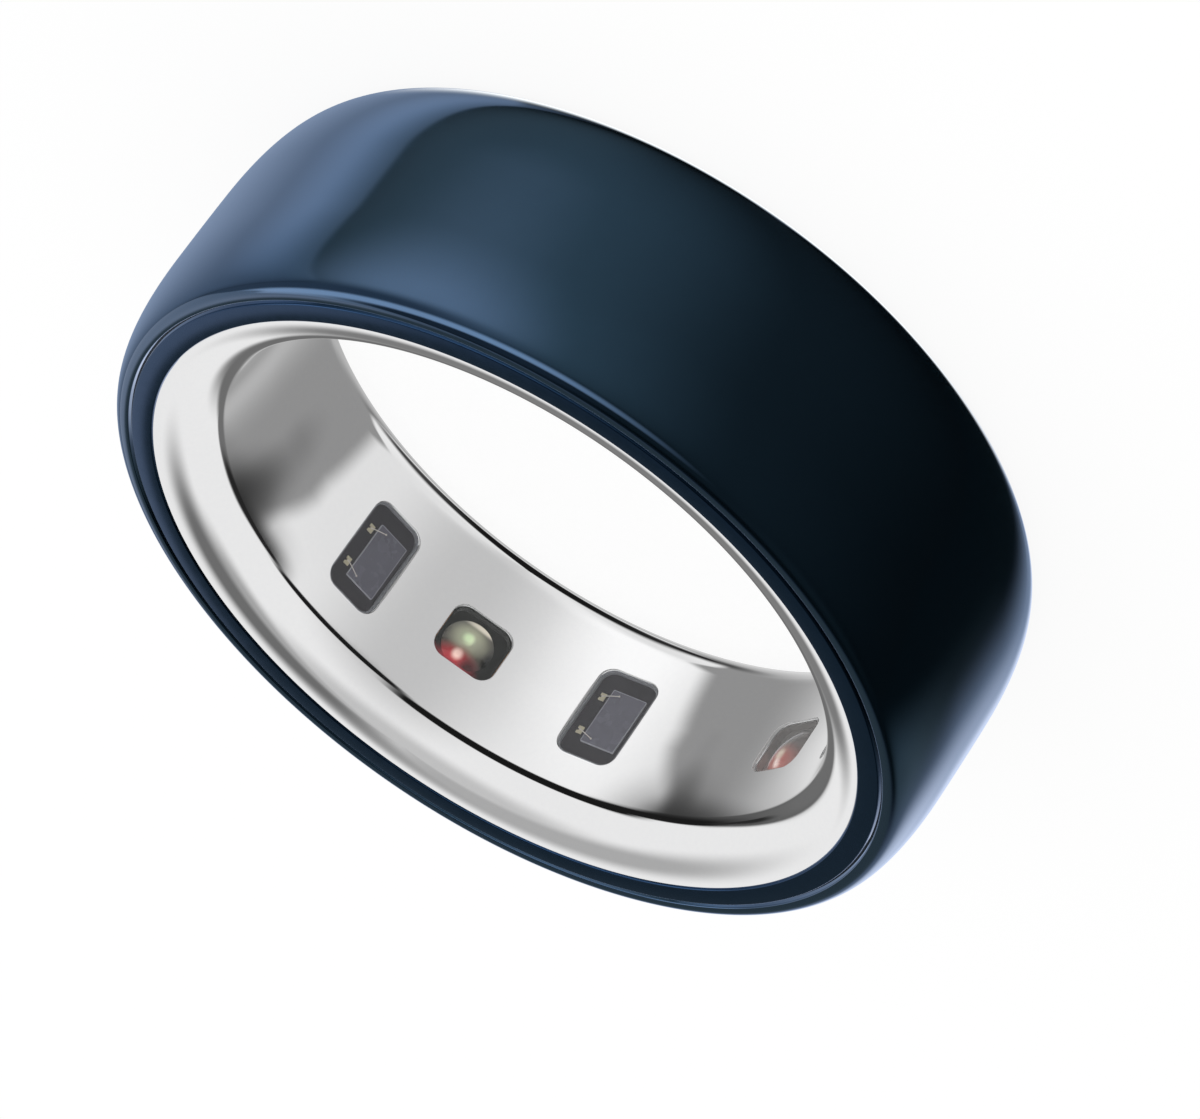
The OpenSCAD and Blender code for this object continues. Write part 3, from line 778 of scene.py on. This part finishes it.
def rounded_rectangle(across, along, corner):
    """Points of a rounded rectangle round the middle of a window."""
    points = []
    for quarter, side in enumerate(((1, 1), (-1, 1), (-1, -1), (1, -1))):
        centre = (side[0] * (across / 2 - corner), side[1] * (along / 2 - corner))
        turn = 90 * quarter
        points += round_arc(centre, corner, turn, turn + 90, CORNER_STEPS)
    return points


def wall_faces(mesh, near, far):
    """Faces from one closed loop of points to the next."""
    for i in range(len(near)):
        j = (i + 1) % len(near)
        mesh.faces.new((near[i], near[j], far[j], far[i]))


def add_cutter(mesh, angle, across, along):
    """Adds the shape that cuts one window, wider where the window's edge is rounded."""
    stations = []
    for i in range(EDGE_STEPS + 1):
        slope = math.radians(EDGE_START + (90 - EDGE_START) * i / EDGE_STEPS)
        stations.append((BORE_R + WINDOW_EDGE * (1 - math.cos(slope)),
                         WINDOW_EDGE * (1 - math.sin(slope))))
    stations.insert(0, (BORE_R - CUTTER_INSIDE, stations[0][1] + WINDOW_EDGE))
    stations.append((LINER_R + CUTTER_OUTSIDE, 0))
    rings = []
    for radius, wider in stations:
        loop = rounded_rectangle(across + 2 * wider, along + 2 * wider, WINDOW_CORNER + wider)
        places = [Vector((math.sqrt(radius ** 2 - u ** 2), u, MID_Z + v)) for u, v in loop]
        rings.append([mesh.verts.new(round_turn(angle) @ place) for place in places])
    for near, far in zip(rings, rings[1:]):
        wall_faces(mesh, near, far)
    mesh.faces.new(rings[0])
    mesh.faces.new(list(reversed(rings[-1])))


def cut_windows(liner):
    """Takes all window openings out of the liner with one exact cut."""
    mesh = bmesh.new()
    for angles, size in ((PD_ANGLES, PD_WINDOW), (LED_ANGLES, LED_WINDOW)):
        for angle in angles:
            add_cutter(mesh, angle, *size)
    bmesh.ops.recalc_face_normals(mesh, faces=mesh.faces)
    cutter = solid("window_cutters", mesh)
    cut = liner.modifiers.new("cut", "BOOLEAN")
    cut.operation = "DIFFERENCE"
    cut.solver = "EXACT"
    cut.object = cutter
    settle(liner)
    bpy.data.objects.remove(cutter)


def mouth_normal(point):
    """The true normal of the bore or its mouth at a point, with the crease softly rounded."""
    radial = Vector((point.x, point.y, 0)).normalized()
    level = point.z - MID_Z
    high = min(max((abs(level) - STRAIGHT_Z) / (LIP_Z - STRAIGHT_Z), 0), 1)
    beside = (1 - high ** MOUTH_POWER) ** (1 / MOUTH_POWER)
    inwards = beside ** (MOUTH_POWER - 1) / (LIP_R - BORE_R)
    upwards = high ** (MOUTH_POWER - 1) / (LIP_Z - STRAIGHT_Z)
    rounded = math.atan2(upwards, inwards)
    swollen = math.atan(2 * SWELL * max(abs(level) - SWELL_Z, 0))
    share = min(max((abs(level) - CREASE_Z) / CREASE_ROUND / 2 + 0.5, 0), 1)
    tilt = swollen + (rounded - swollen) * share
    return -radial * math.cos(tilt) + Vector((0, 0, math.copysign(math.sin(tilt), level)))


def polish(liner):
    """Gives the bore and its mouths their true normals, so that reflections stay clean."""
    data = liner.data
    normals = [loop.normal.copy() for loop in data.loops]
    for face in data.polygons:
        true = [mouth_normal(data.vertices[data.loops[i].vertex_index].co)
                for i in face.loop_indices]
        if all(normal.dot(face.normal) > POLISHED_COSINE for normal in true):
            for i, normal in zip(face.loop_indices, true):
                normals[i] = normal
    data.normals_split_custom_set(normals)


def ring_pieces():
    liner = turned("polished_liner", liner_outline(), "inner_liner")
    cut_windows(liner)
    smooth(liner, LINER_SHARP_ANGLE)
    polish(liner)
    piece(liner, "inner_liner")
    piece(turned("blue_band", band_outline(), "outer_band"), "outer_band")
    piece(turned("side_casing", casing_outline(), "casing_ring"), "casing_ring")
    piece(turned("glue_line", glue_outline(), "band_bond"), "band_bond")


# Sensor windows


def in_window(name, angle, size, corner, depths, material, wall=0, shift=0):
    """A rounded block in a window, or a wall where one is given."""
    sizes = {
        "Across": size[0], "Along": size[1], "Corner": corner, "Near": depths[0],
        "Far": depths[1], "Wall": wall, "Shift": shift, "Angle": angle,
    }
    values = {label: float(value) for label, value in sizes.items()}
    return smooth(bake(name, WINDOW, [(0, 0, 0)], [], {**values, "Material": material}))


def frame_of_window(kind, number, angle, size, floor_r, wall_finish, floor_finish):
    """Shield, package and cover of one window."""
    outer = [length - 2 * GAP for length in size]
    for name, node, depths, finish, wall in (
        ("light_shield", "shield", (COVER_R + SEAT, floor_r - SEAT), wall_finish, SHIELD_WALL),
        ("floor", "package", (floor_r, PACKAGE_BACK_R), floor_finish, 0),
        ("cover", "window", (FRONT_R, COVER_R), MATERIALS["window_cover"], 0),
    ):
        made = in_window(f"{kind}_{name}_{number}", angle, outer, WINDOW_CORNER - GAP, depths,
                         finish, wall)
        piece(made, f"{kind}_{node}_{number}")


def stand(obj, angle, depth, across, along):
    """Turns a piece that stands on its XY plane round so that it faces the finger."""
    facing = Matrix(((0, 0, -1, 0), (0, 1, 0, 0), (1, 0, 0, 0), (0, 0, 0, 1)))
    there = Matrix.Translation((depth, across, MID_Z + along))
    obj.data.transform(round_turn(angle) @ there @ facing)
    return obj


def prism(name, outline, height, material):
    """A low prism on the XY plane from an outline of points."""
    mesh = bmesh.new()
    low, high = [[mesh.verts.new((x, y, z)) for x, y in outline] for z in (0, height)]
    mesh.faces.new(list(reversed(low)))
    mesh.faces.new(high)
    wall_faces(mesh, low, high)
    return solid(name, mesh, material)


def join(name, objects):
    """One object from several, with the first one's material."""
    material = objects[0].data.materials[0]
    mesh = bmesh.new()
    for obj in objects:
        mesh.from_mesh(obj.data)
        bpy.data.objects.remove(obj)
    return solid(name, mesh, material)


def bond_pads(number, angle):
    """Two plated pads, each with a notch in the side that faces away from the chip."""
    along, across = PAD[1] / 2, PAD[0] / 2
    deep, wide = NOTCH[0], NOTCH[1] / 2
    outline = [
        (-along, -across), (-wide, -across), (-wide, deep - across), (wide, deep - across),
        (wide, -across), (along, -across), (along, across), (-along, across),
    ]
    pads = [stand(prism("pad", outline, PAD_T, MATERIALS["bond_pad"]), angle,
                  PD_FLOOR_R - SEAT, PAD_ACROSS, side * PAD_PITCH / 2) for side in (-1, 1)]
    piece(smooth(join(f"plated_pads_{number}", pads)), f"pd_bond_pads_{number}")


def bond_wires(number, angle):
    """Two arched wires from the pads to the chip."""
    points, edges = [], []
    low = PD_FLOOR_R - SEAT - PAD_T - BEAD_R
    high = PD_FLOOR_R - SEAT - PD_DIE_T - BEAD_R
    for side in (-1, 1):
        start = Vector((low, PAD_ACROSS, MID_Z + side * PAD_PITCH / 2))
        end = Vector((high, BEAD_ACROSS, MID_Z + side * BEAD_PITCH / 2))
        for i in range(WIRE_STEPS + 1):
            share = i / WIRE_STEPS
            point = start.lerp(end, share)
            point.x -= WIRE_RISE * math.sin(math.pi * share)
            if i:
                edges.append((len(points) - 1, len(points)))
            points.append(round_turn(angle) @ point)
    values = {"Radius": WIRE_R, "Bead Radius": BEAD_R, "Material": MATERIALS["bond_wire"]}
    wires = bake(f"gold_wires_{number}", WIRE, points, edges, values)
    wires.data.shade_smooth()
    piece(wires, f"pd_bond_wires_{number}")


def photodiode_window(number, angle):
    frame_of_window("pd", number, angle, PD_WINDOW, PD_FLOOR_R, MATERIALS["shield"],
                    MATERIALS["package"])
    back = PD_FLOOR_R - SEAT
    chip = in_window(f"photodiode_chip_{number}", angle, PD_DIE, DIE_CORNER,
                     (back - PD_DIE_T, back), MATERIALS["photodiode"], shift=PD_DIE_SHIFT)
    piece(chip, f"pd_die_{number}")
    bond_pads(number, angle)
    bond_wires(number, angle)


def dome(number, angle):
    """A low spherical lens over the light source chips, its rim on the floor."""
    height = LED_FLOOR_R - SEAT - COVER_R - GAP
    sphere_r = (height ** 2 + DOME_R ** 2) / (2 * height)
    rim = math.degrees(math.asin(DOME_R / sphere_r))
    arc = round_arc((0, height - sphere_r), sphere_r, 90, 90 - rim, LENS_STEPS)
    points = [(r, 0, z) for r, z in [(0, 0)] + arc]
    values = {"Segments": LENS_SEGMENTS, "Material": DOMES[number - 1]}
    lens = bake(f"domed_lens_{number}", TURNED, points, [], values)
    # Once the lens faces the finger, its Y runs across the window and its X runs along it
    place = lens.data.attributes.new("place", "FLOAT_VECTOR", "POINT")
    for vertex in lens.data.vertices:
        place.data[vertex.index].vector = (vertex.co.y, vertex.co.x, 0)
    stand(lens, angle, LED_FLOOR_R - SEAT, *DOME_SHIFT)
    piece(smooth(lens), f"led_dome_{number}")


def light_chips(number, angle):
    """Three chips on the floor of the cup, under the lens."""
    half = LED_DIE / 2
    square = [(-half, -half), (half, -half), (half, half), (-half, half)]
    for colour, degrees in LED_TURNS.items():
        turn = math.radians(degrees)
        chip = prism(f"{colour}_chip_{number}", square, LED_DIE_T, MATERIALS[f"die_{colour}"])
        stand(chip, angle, LED_FLOOR_R - SEAT,
              DOME_SHIFT[0] + LED_DIE_OFFSET * math.cos(turn),
              DOME_SHIFT[1] + LED_DIE_OFFSET * math.sin(turn))
        piece(smooth(chip), f"led_die_{colour}_{number}")


def light_window(number, angle):
    cup = CUPS[number - 1]
    frame_of_window("led", number, angle, LED_WINDOW, LED_FLOOR_R, cup, cup)
    light_chips(number, angle)
    dome(number, angle)


def dress_nodes():
    """Gives each node that keeps its own mesh the material of its slot."""
    for name, obj in NODES.items():
        if not obj.data.materials:
            obj.data.materials.append(None)
        for slot in obj.material_slots:
            slot.material = MATERIALS[SLOTS[name]]


dress_nodes()
ring_pieces()
for number, angle in enumerate(PD_ANGLES, 1):
    photodiode_window(number, angle)
for number, angle in enumerate(LED_ANGLES, 1):
    light_window(number, angle)


# Studio

# Radii of the tents, and half the side of the floor, in metres
BAND_TENT_R = 0.6
LINER_TENT_R = 0.7
FLOOR_HALF = 2

# Linear colours of the tents' ground and of the floor
BAND_GROUND = (0.008, 0.014, 0.018, 1)
LINER_GROUND = (0.92, 0.92, 0.92, 1)
FLOOR_GREY = (0.9, 0.9, 0.9, 1)

# Light of the world on the ring, glow of the floor, and the share of it that the camera sees
AMBIENT = 0.7
FLOOR_GLOW = 1.07
FLOOR_SHARE = 0.85


def camera():
    """The photograph's view of the ring: its middle seen from above its -Y side, rolled."""
    distance, azimuth, elevation = 159.485, -89.3, 29.577
    roll, tilt, pan = 215.16, 0.4634, -0.2984
    lens, sensor = 173.5, 36
    turn, rise = math.radians(azimuth), math.radians(elevation)
    away = Vector((math.cos(rise) * math.cos(turn), math.cos(rise) * math.sin(turn),
                   math.sin(rise)))
    right = (-away).cross(Vector((0, 0, 1))).normalized()
    down = (-away).cross(right)
    looks = (Matrix.Rotation(math.radians(pan), 3, "Y")
             @ Matrix.Rotation(math.radians(tilt), 3, "X")
             @ Matrix.Rotation(math.radians(roll), 3, "Z")
             @ Matrix((right, down, -away)))
    axes = Matrix((looks[0], -looks[1], -looks[2])).transposed()
    place = Vector((0, 0, MID_Z)) + away * distance
    data = bpy.data.cameras.new("camera")
    data.sensor_fit = "HORIZONTAL"
    data.sensor_width = sensor
    data.lens = lens
    obj = put("camera", data)
    obj.matrix_world = Matrix.Translation(place * MM) @ axes.to_4x4()
    bpy.context.scene.camera = obj


def tent_light(name, ground, zones):
    """Soft light over a sphere round the ring, with the zones laid over its ground in turn.

    Each zone is (azimuth, elevation, half width, half height, softness, lean, power, colour,
    level). The first four are in degrees, and a power of 2 gives an ellipse.
    """
    material, tree = blank(name)
    tree.nodes.clear()
    place = add(tree, "ShaderNodeTexCoord").outputs["Object"]
    unit = add(tree, "ShaderNodeVectorMath", [(place, 0)], operation="NORMALIZE")
    parts = add(tree, "ShaderNodeSeparateXYZ", [(unit, 0)]).outputs
    turn = add(tree, "ShaderNodeMath", [(parts["Y"], 0), (parts["X"], 1)],
               operation="ARCTAN2")
    azimuth = add(tree, "ShaderNodeMath", [(turn, 0)], operation="DEGREES")
    rise = add(tree, "ShaderNodeMath", [(parts["Z"], 0)], operation="ARCSINE")
    elevation = add(tree, "ShaderNodeMath", [(rise, 0)], operation="DEGREES")
    last = add(tree, "ShaderNodeRGB")
    last.outputs[0].default_value = ground
    for az, el, wide, high, soft, lean, power, hue, level in zones:
        middle = az - lean * el
        leaned = add(tree, "ShaderNodeMath", [(elevation, 0), (azimuth, 2)], [(1, -lean)],
                     operation="MULTIPLY_ADD")
        wrapped = add(tree, "ShaderNodeMath", [(leaned, 0)],
                      [(1, middle + 180), (2, middle - 180)], operation="WRAP")
        sides = []
        for angle, centre, half in ((wrapped, middle, wide), (elevation, el, high)):
            share = add(tree, "ShaderNodeMapRange", [(angle, "Value")],
                        [("From Min", centre - half), ("From Max", centre + half),
                         ("To Min", -1)], clamp=False)
            size = add(tree, "ShaderNodeMath", [(share, 0)], operation="ABSOLUTE")
            sides.append(add(tree, "ShaderNodeMath", [(size, 0)], [(1, power)],
                             operation="POWER"))
        total = add(tree, "ShaderNodeMath", [(sides[0], 0), (sides[1], 1)], operation="ADD")
        far = add(tree, "ShaderNodeMath", [(total, 0)], [(1, 1 / power)], operation="POWER")
        mask = add(tree, "ShaderNodeMapRange", [(far, "Value")],
                   [("From Min", 1 + soft), ("From Max", 1 - soft)],
                   interpolation_type="SMOOTHSTEP")
        shade = [c * level for c in linear(hue)[:3]] + [1]
        last = add(tree, "ShaderNodeMix", [(mask, "Factor"), (last, "A")], [("B", shade)],
                   data_type="RGBA").outputs["Result"]
    light = add(tree, "ShaderNodeEmission", [(last, "Color")])
    through = add(tree, "ShaderNodeBsdfTransparent")
    both = add(tree, "ShaderNodeAddShader", [(light, 0), (through, 1)])
    add(tree, "ShaderNodeOutputMaterial", [(both, "Surface")])
    return material


def tent(name, radius, ground, zones, receivers):
    """A big sphere of soft light round the ring, seen only in the gloss of the receivers."""
    mesh = bmesh.new()
    bmesh.ops.create_uvsphere(mesh, u_segments=64, v_segments=32, radius=radius)
    obj = solid(name, mesh, tent_light(name, ground, zones))
    obj.visible_camera = False
    obj.visible_diffuse = False
    obj.visible_shadow = False
    obj.visible_transmission = False
    group = bpy.data.collections.new(name + "_receivers")
    for receiver in receivers:
        group.objects.link(receiver)
    obj.light_linking.receiver_collection = group
    obj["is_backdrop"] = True


SKY = "#d4e2ff"
BLUE = "#b0c8ee"
TEAL = "#c7e9ff"
WHITE = "#ffffff"
BAND_ZONES = (
    (60, -22, 63, 36, 0.03, -0.2, 6, BLUE, 0.8),
    (92, -22, 32, 60, 0.8, 0, 2, BLUE, 0.48),
    (12, -30, 14, 24, 0.8, -0.2, 2, BLUE, 1.6),
    (-92, 0, 90, 89, 0.015, -0.2, 16, TEAL, 0.016),
    (-80, 0, 60, 80, 0.7, 0, 2, TEAL, 0.11),
    (-20, -35, 26, 28, 0.6, 0, 2, TEAL, 0.3),
    (-45, -5, 38, 42, 0.85, 0, 2, TEAL, 0.62),
    (-32, 2, 22, 24, 0.8, 0, 2, SKY, 1.7),
    (-105, 48, 75, 18, 0.5, 0, 3, TEAL, 0.08),
    (5, 26, 55, 15, 0.5, 0, 3, BLUE, 0.5),
    (0, 60, 66, 22, 0.4, 0, 3, BLUE, 0.22),
    (-8, 43, 74, 10, 0.5, 0, 3, SKY, 3),
    (150, 0, 16, 22, 0.6, 0, 2, TEAL, 0.28),
    (111, -14, 31, 34, 0.4, 0, 2.5, BLUE, 0.56),
    (104, -25, 10, 20, 0.6, 0, 2, SKY, 1),
    (122, -16, 12, 12, 0.7, 0, 2, SKY, 1.15),
    (82, -62, 44, 17, 0.4, 0, 2, WHITE, 2.2),
    (100, 28, 20, 14, 0.5, 0, 3, TEAL, 0.2),
    (60, 28, 25.8, 14, 0.07, 0, 4, SKY, 1.02),
)
LINER_ZONES = (
    (-80, -55, 100, 37, 0.2, 0, 6, WHITE, 0.84),
    (-105, -30, 26, 60, 0.8, 0, 2, WHITE, 0.6),
    (-38, -45, 24, 26, 0.7, 0, 2, WHITE, 1.1),
    (91, -38, 102, 20, 0.05, 0, 4, WHITE, 0.31),
    (84, -28, 36, 24, 0.8, 0, 2, WHITE, 0.78),
    (5, -20, 6, 6, 0.7, 0, 2, WHITE, 0.18),
    (171, -20, 10, 8, 0.7, 0, 2, WHITE, 0.14),
    (88, -77, 68, 14.5, 0.25, 0, 3, WHITE, 0.01),
    (50, -63, 14, 9, 0.7, 0, 2, WHITE, 0.02),
    (130, -66, 14, 8, 0.7, 0, 2, WHITE, 0.05),
    (103, -27, 14, 16, 0.8, 0, 2, WHITE, 0.36),
    (130, -17, 60, 6, 0.35, 0, 4, WHITE, 0.17),
    (40, -12, 48, 11, 0.15, 0, 4, WHITE, 0.1),
    (82, -12, 36, 11, 0.5, 0, 3, WHITE, 0.16),
    (5, -12, 25, 10, 0.6, 0, 2, WHITE, 0.02),
    (165, -17, 16, 7, 0.6, 0, 2, WHITE, 0.03),
    (-57, -1.5, 48, 10.5, 0.15, 0, 5, WHITE, 0.01),
    (-4, -7, 26, 7.5, 0.25, 0, 4, WHITE, 0.012),
    (32, -7, 14, 3, 0.4, 0, 2, WHITE, 0.025),
    (-130, -12, 32, 5.5, 0.2, 0, 3, WHITE, 0.012),
    (178, -17, 25, 4, 0.3, 0, 3, WHITE, 0.02),
    (89.5, 8, 7.5, 15, 0.4, 0, 2, WHITE, 0.22),
    (0, 90, 400, 30, 0.45, 0, 2, WHITE, 0.6),
    (60, 62, 40, 26, 0.5, 0, 2, WHITE, 0.45),
    (150, 62, 26, 18, 0.6, 0, 2, WHITE, 0.42),
    (118, 58, 26, 22, 0.5, 0, 2, WHITE, 0.17),
)


def studio():
    """Both tents, and a world that looks white but leaves the gloss to the tents."""
    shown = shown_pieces()
    dark = [o for o in shown if o.name.startswith(("blue_band", "side_casing", "glue_line"))]
    bright = [o for o in shown if o not in dark]
    tent("band_tent", BAND_TENT_R, BAND_GROUND, BAND_ZONES, dark)
    tent("liner_tent", LINER_TENT_R, LINER_GROUND, LINER_ZONES, bright)
    for obj in shown + list(NODES.values()):
        obj.visible_glossy = False
    world = bpy.data.worlds.new("studio")
    bpy.context.scene.world = world
    world.use_nodes = True
    tree = world.node_tree
    path = add(tree, "ShaderNodeLightPath").outputs
    seen = add(tree, "ShaderNodeMath", [
        (path["Is Camera Ray"], 0), (path["Is Transmission Ray"], 1)], operation="MAXIMUM")
    plain = add(tree, "ShaderNodeMath", [(path["Is Glossy Ray"], 1)], [(0, 1)],
                operation="SUBTRACT")
    ambient = add(tree, "ShaderNodeMath", [(plain, 0)], [(1, AMBIENT)], operation="MULTIPLY")
    strength = add(tree, "ShaderNodeMath", [(seen, 0), (ambient, 1)], operation="MAXIMUM")
    back = tree.nodes["Background"]
    back.inputs["Color"].default_value = (1, 1, 1, 1)
    tree.links.new(strength.outputs[0], back.inputs["Strength"])


def floor():
    """A pale floor that looks white and keeps a faint shadow of the ring."""
    material, tree = blank("white_floor")
    matte = add(tree, "ShaderNodeBsdfDiffuse", values=[("Color", FLOOR_GREY)])
    white = add(tree, "ShaderNodeEmission", values=[("Strength", FLOOR_GLOW)])
    path = add(tree, "ShaderNodeLightPath").outputs
    share = add(tree, "ShaderNodeMath", [(path["Is Camera Ray"], 0)], [(1, FLOOR_SHARE)],
                operation="MULTIPLY")
    both = add(tree, "ShaderNodeMixShader", [(share, 0), (matte, 1), (white, 2)])
    tree.links.new(both.outputs[0], tree.nodes["Material Output"].inputs["Surface"])
    half = FLOOR_HALF
    data = bpy.data.meshes.new("floor")
    data.from_pydata([(-half, -half, 0), (half, -half, 0), (half, half, 0), (-half, half, 0)],
                     [], [(0, 1, 2, 3)])
    data.materials.append(material)
    obj = put("floor", data)
    obj.visible_glossy = False
    obj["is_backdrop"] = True


camera()
floor()
studio()
bpy.context.scene.view_settings.view_transform = "Standard"
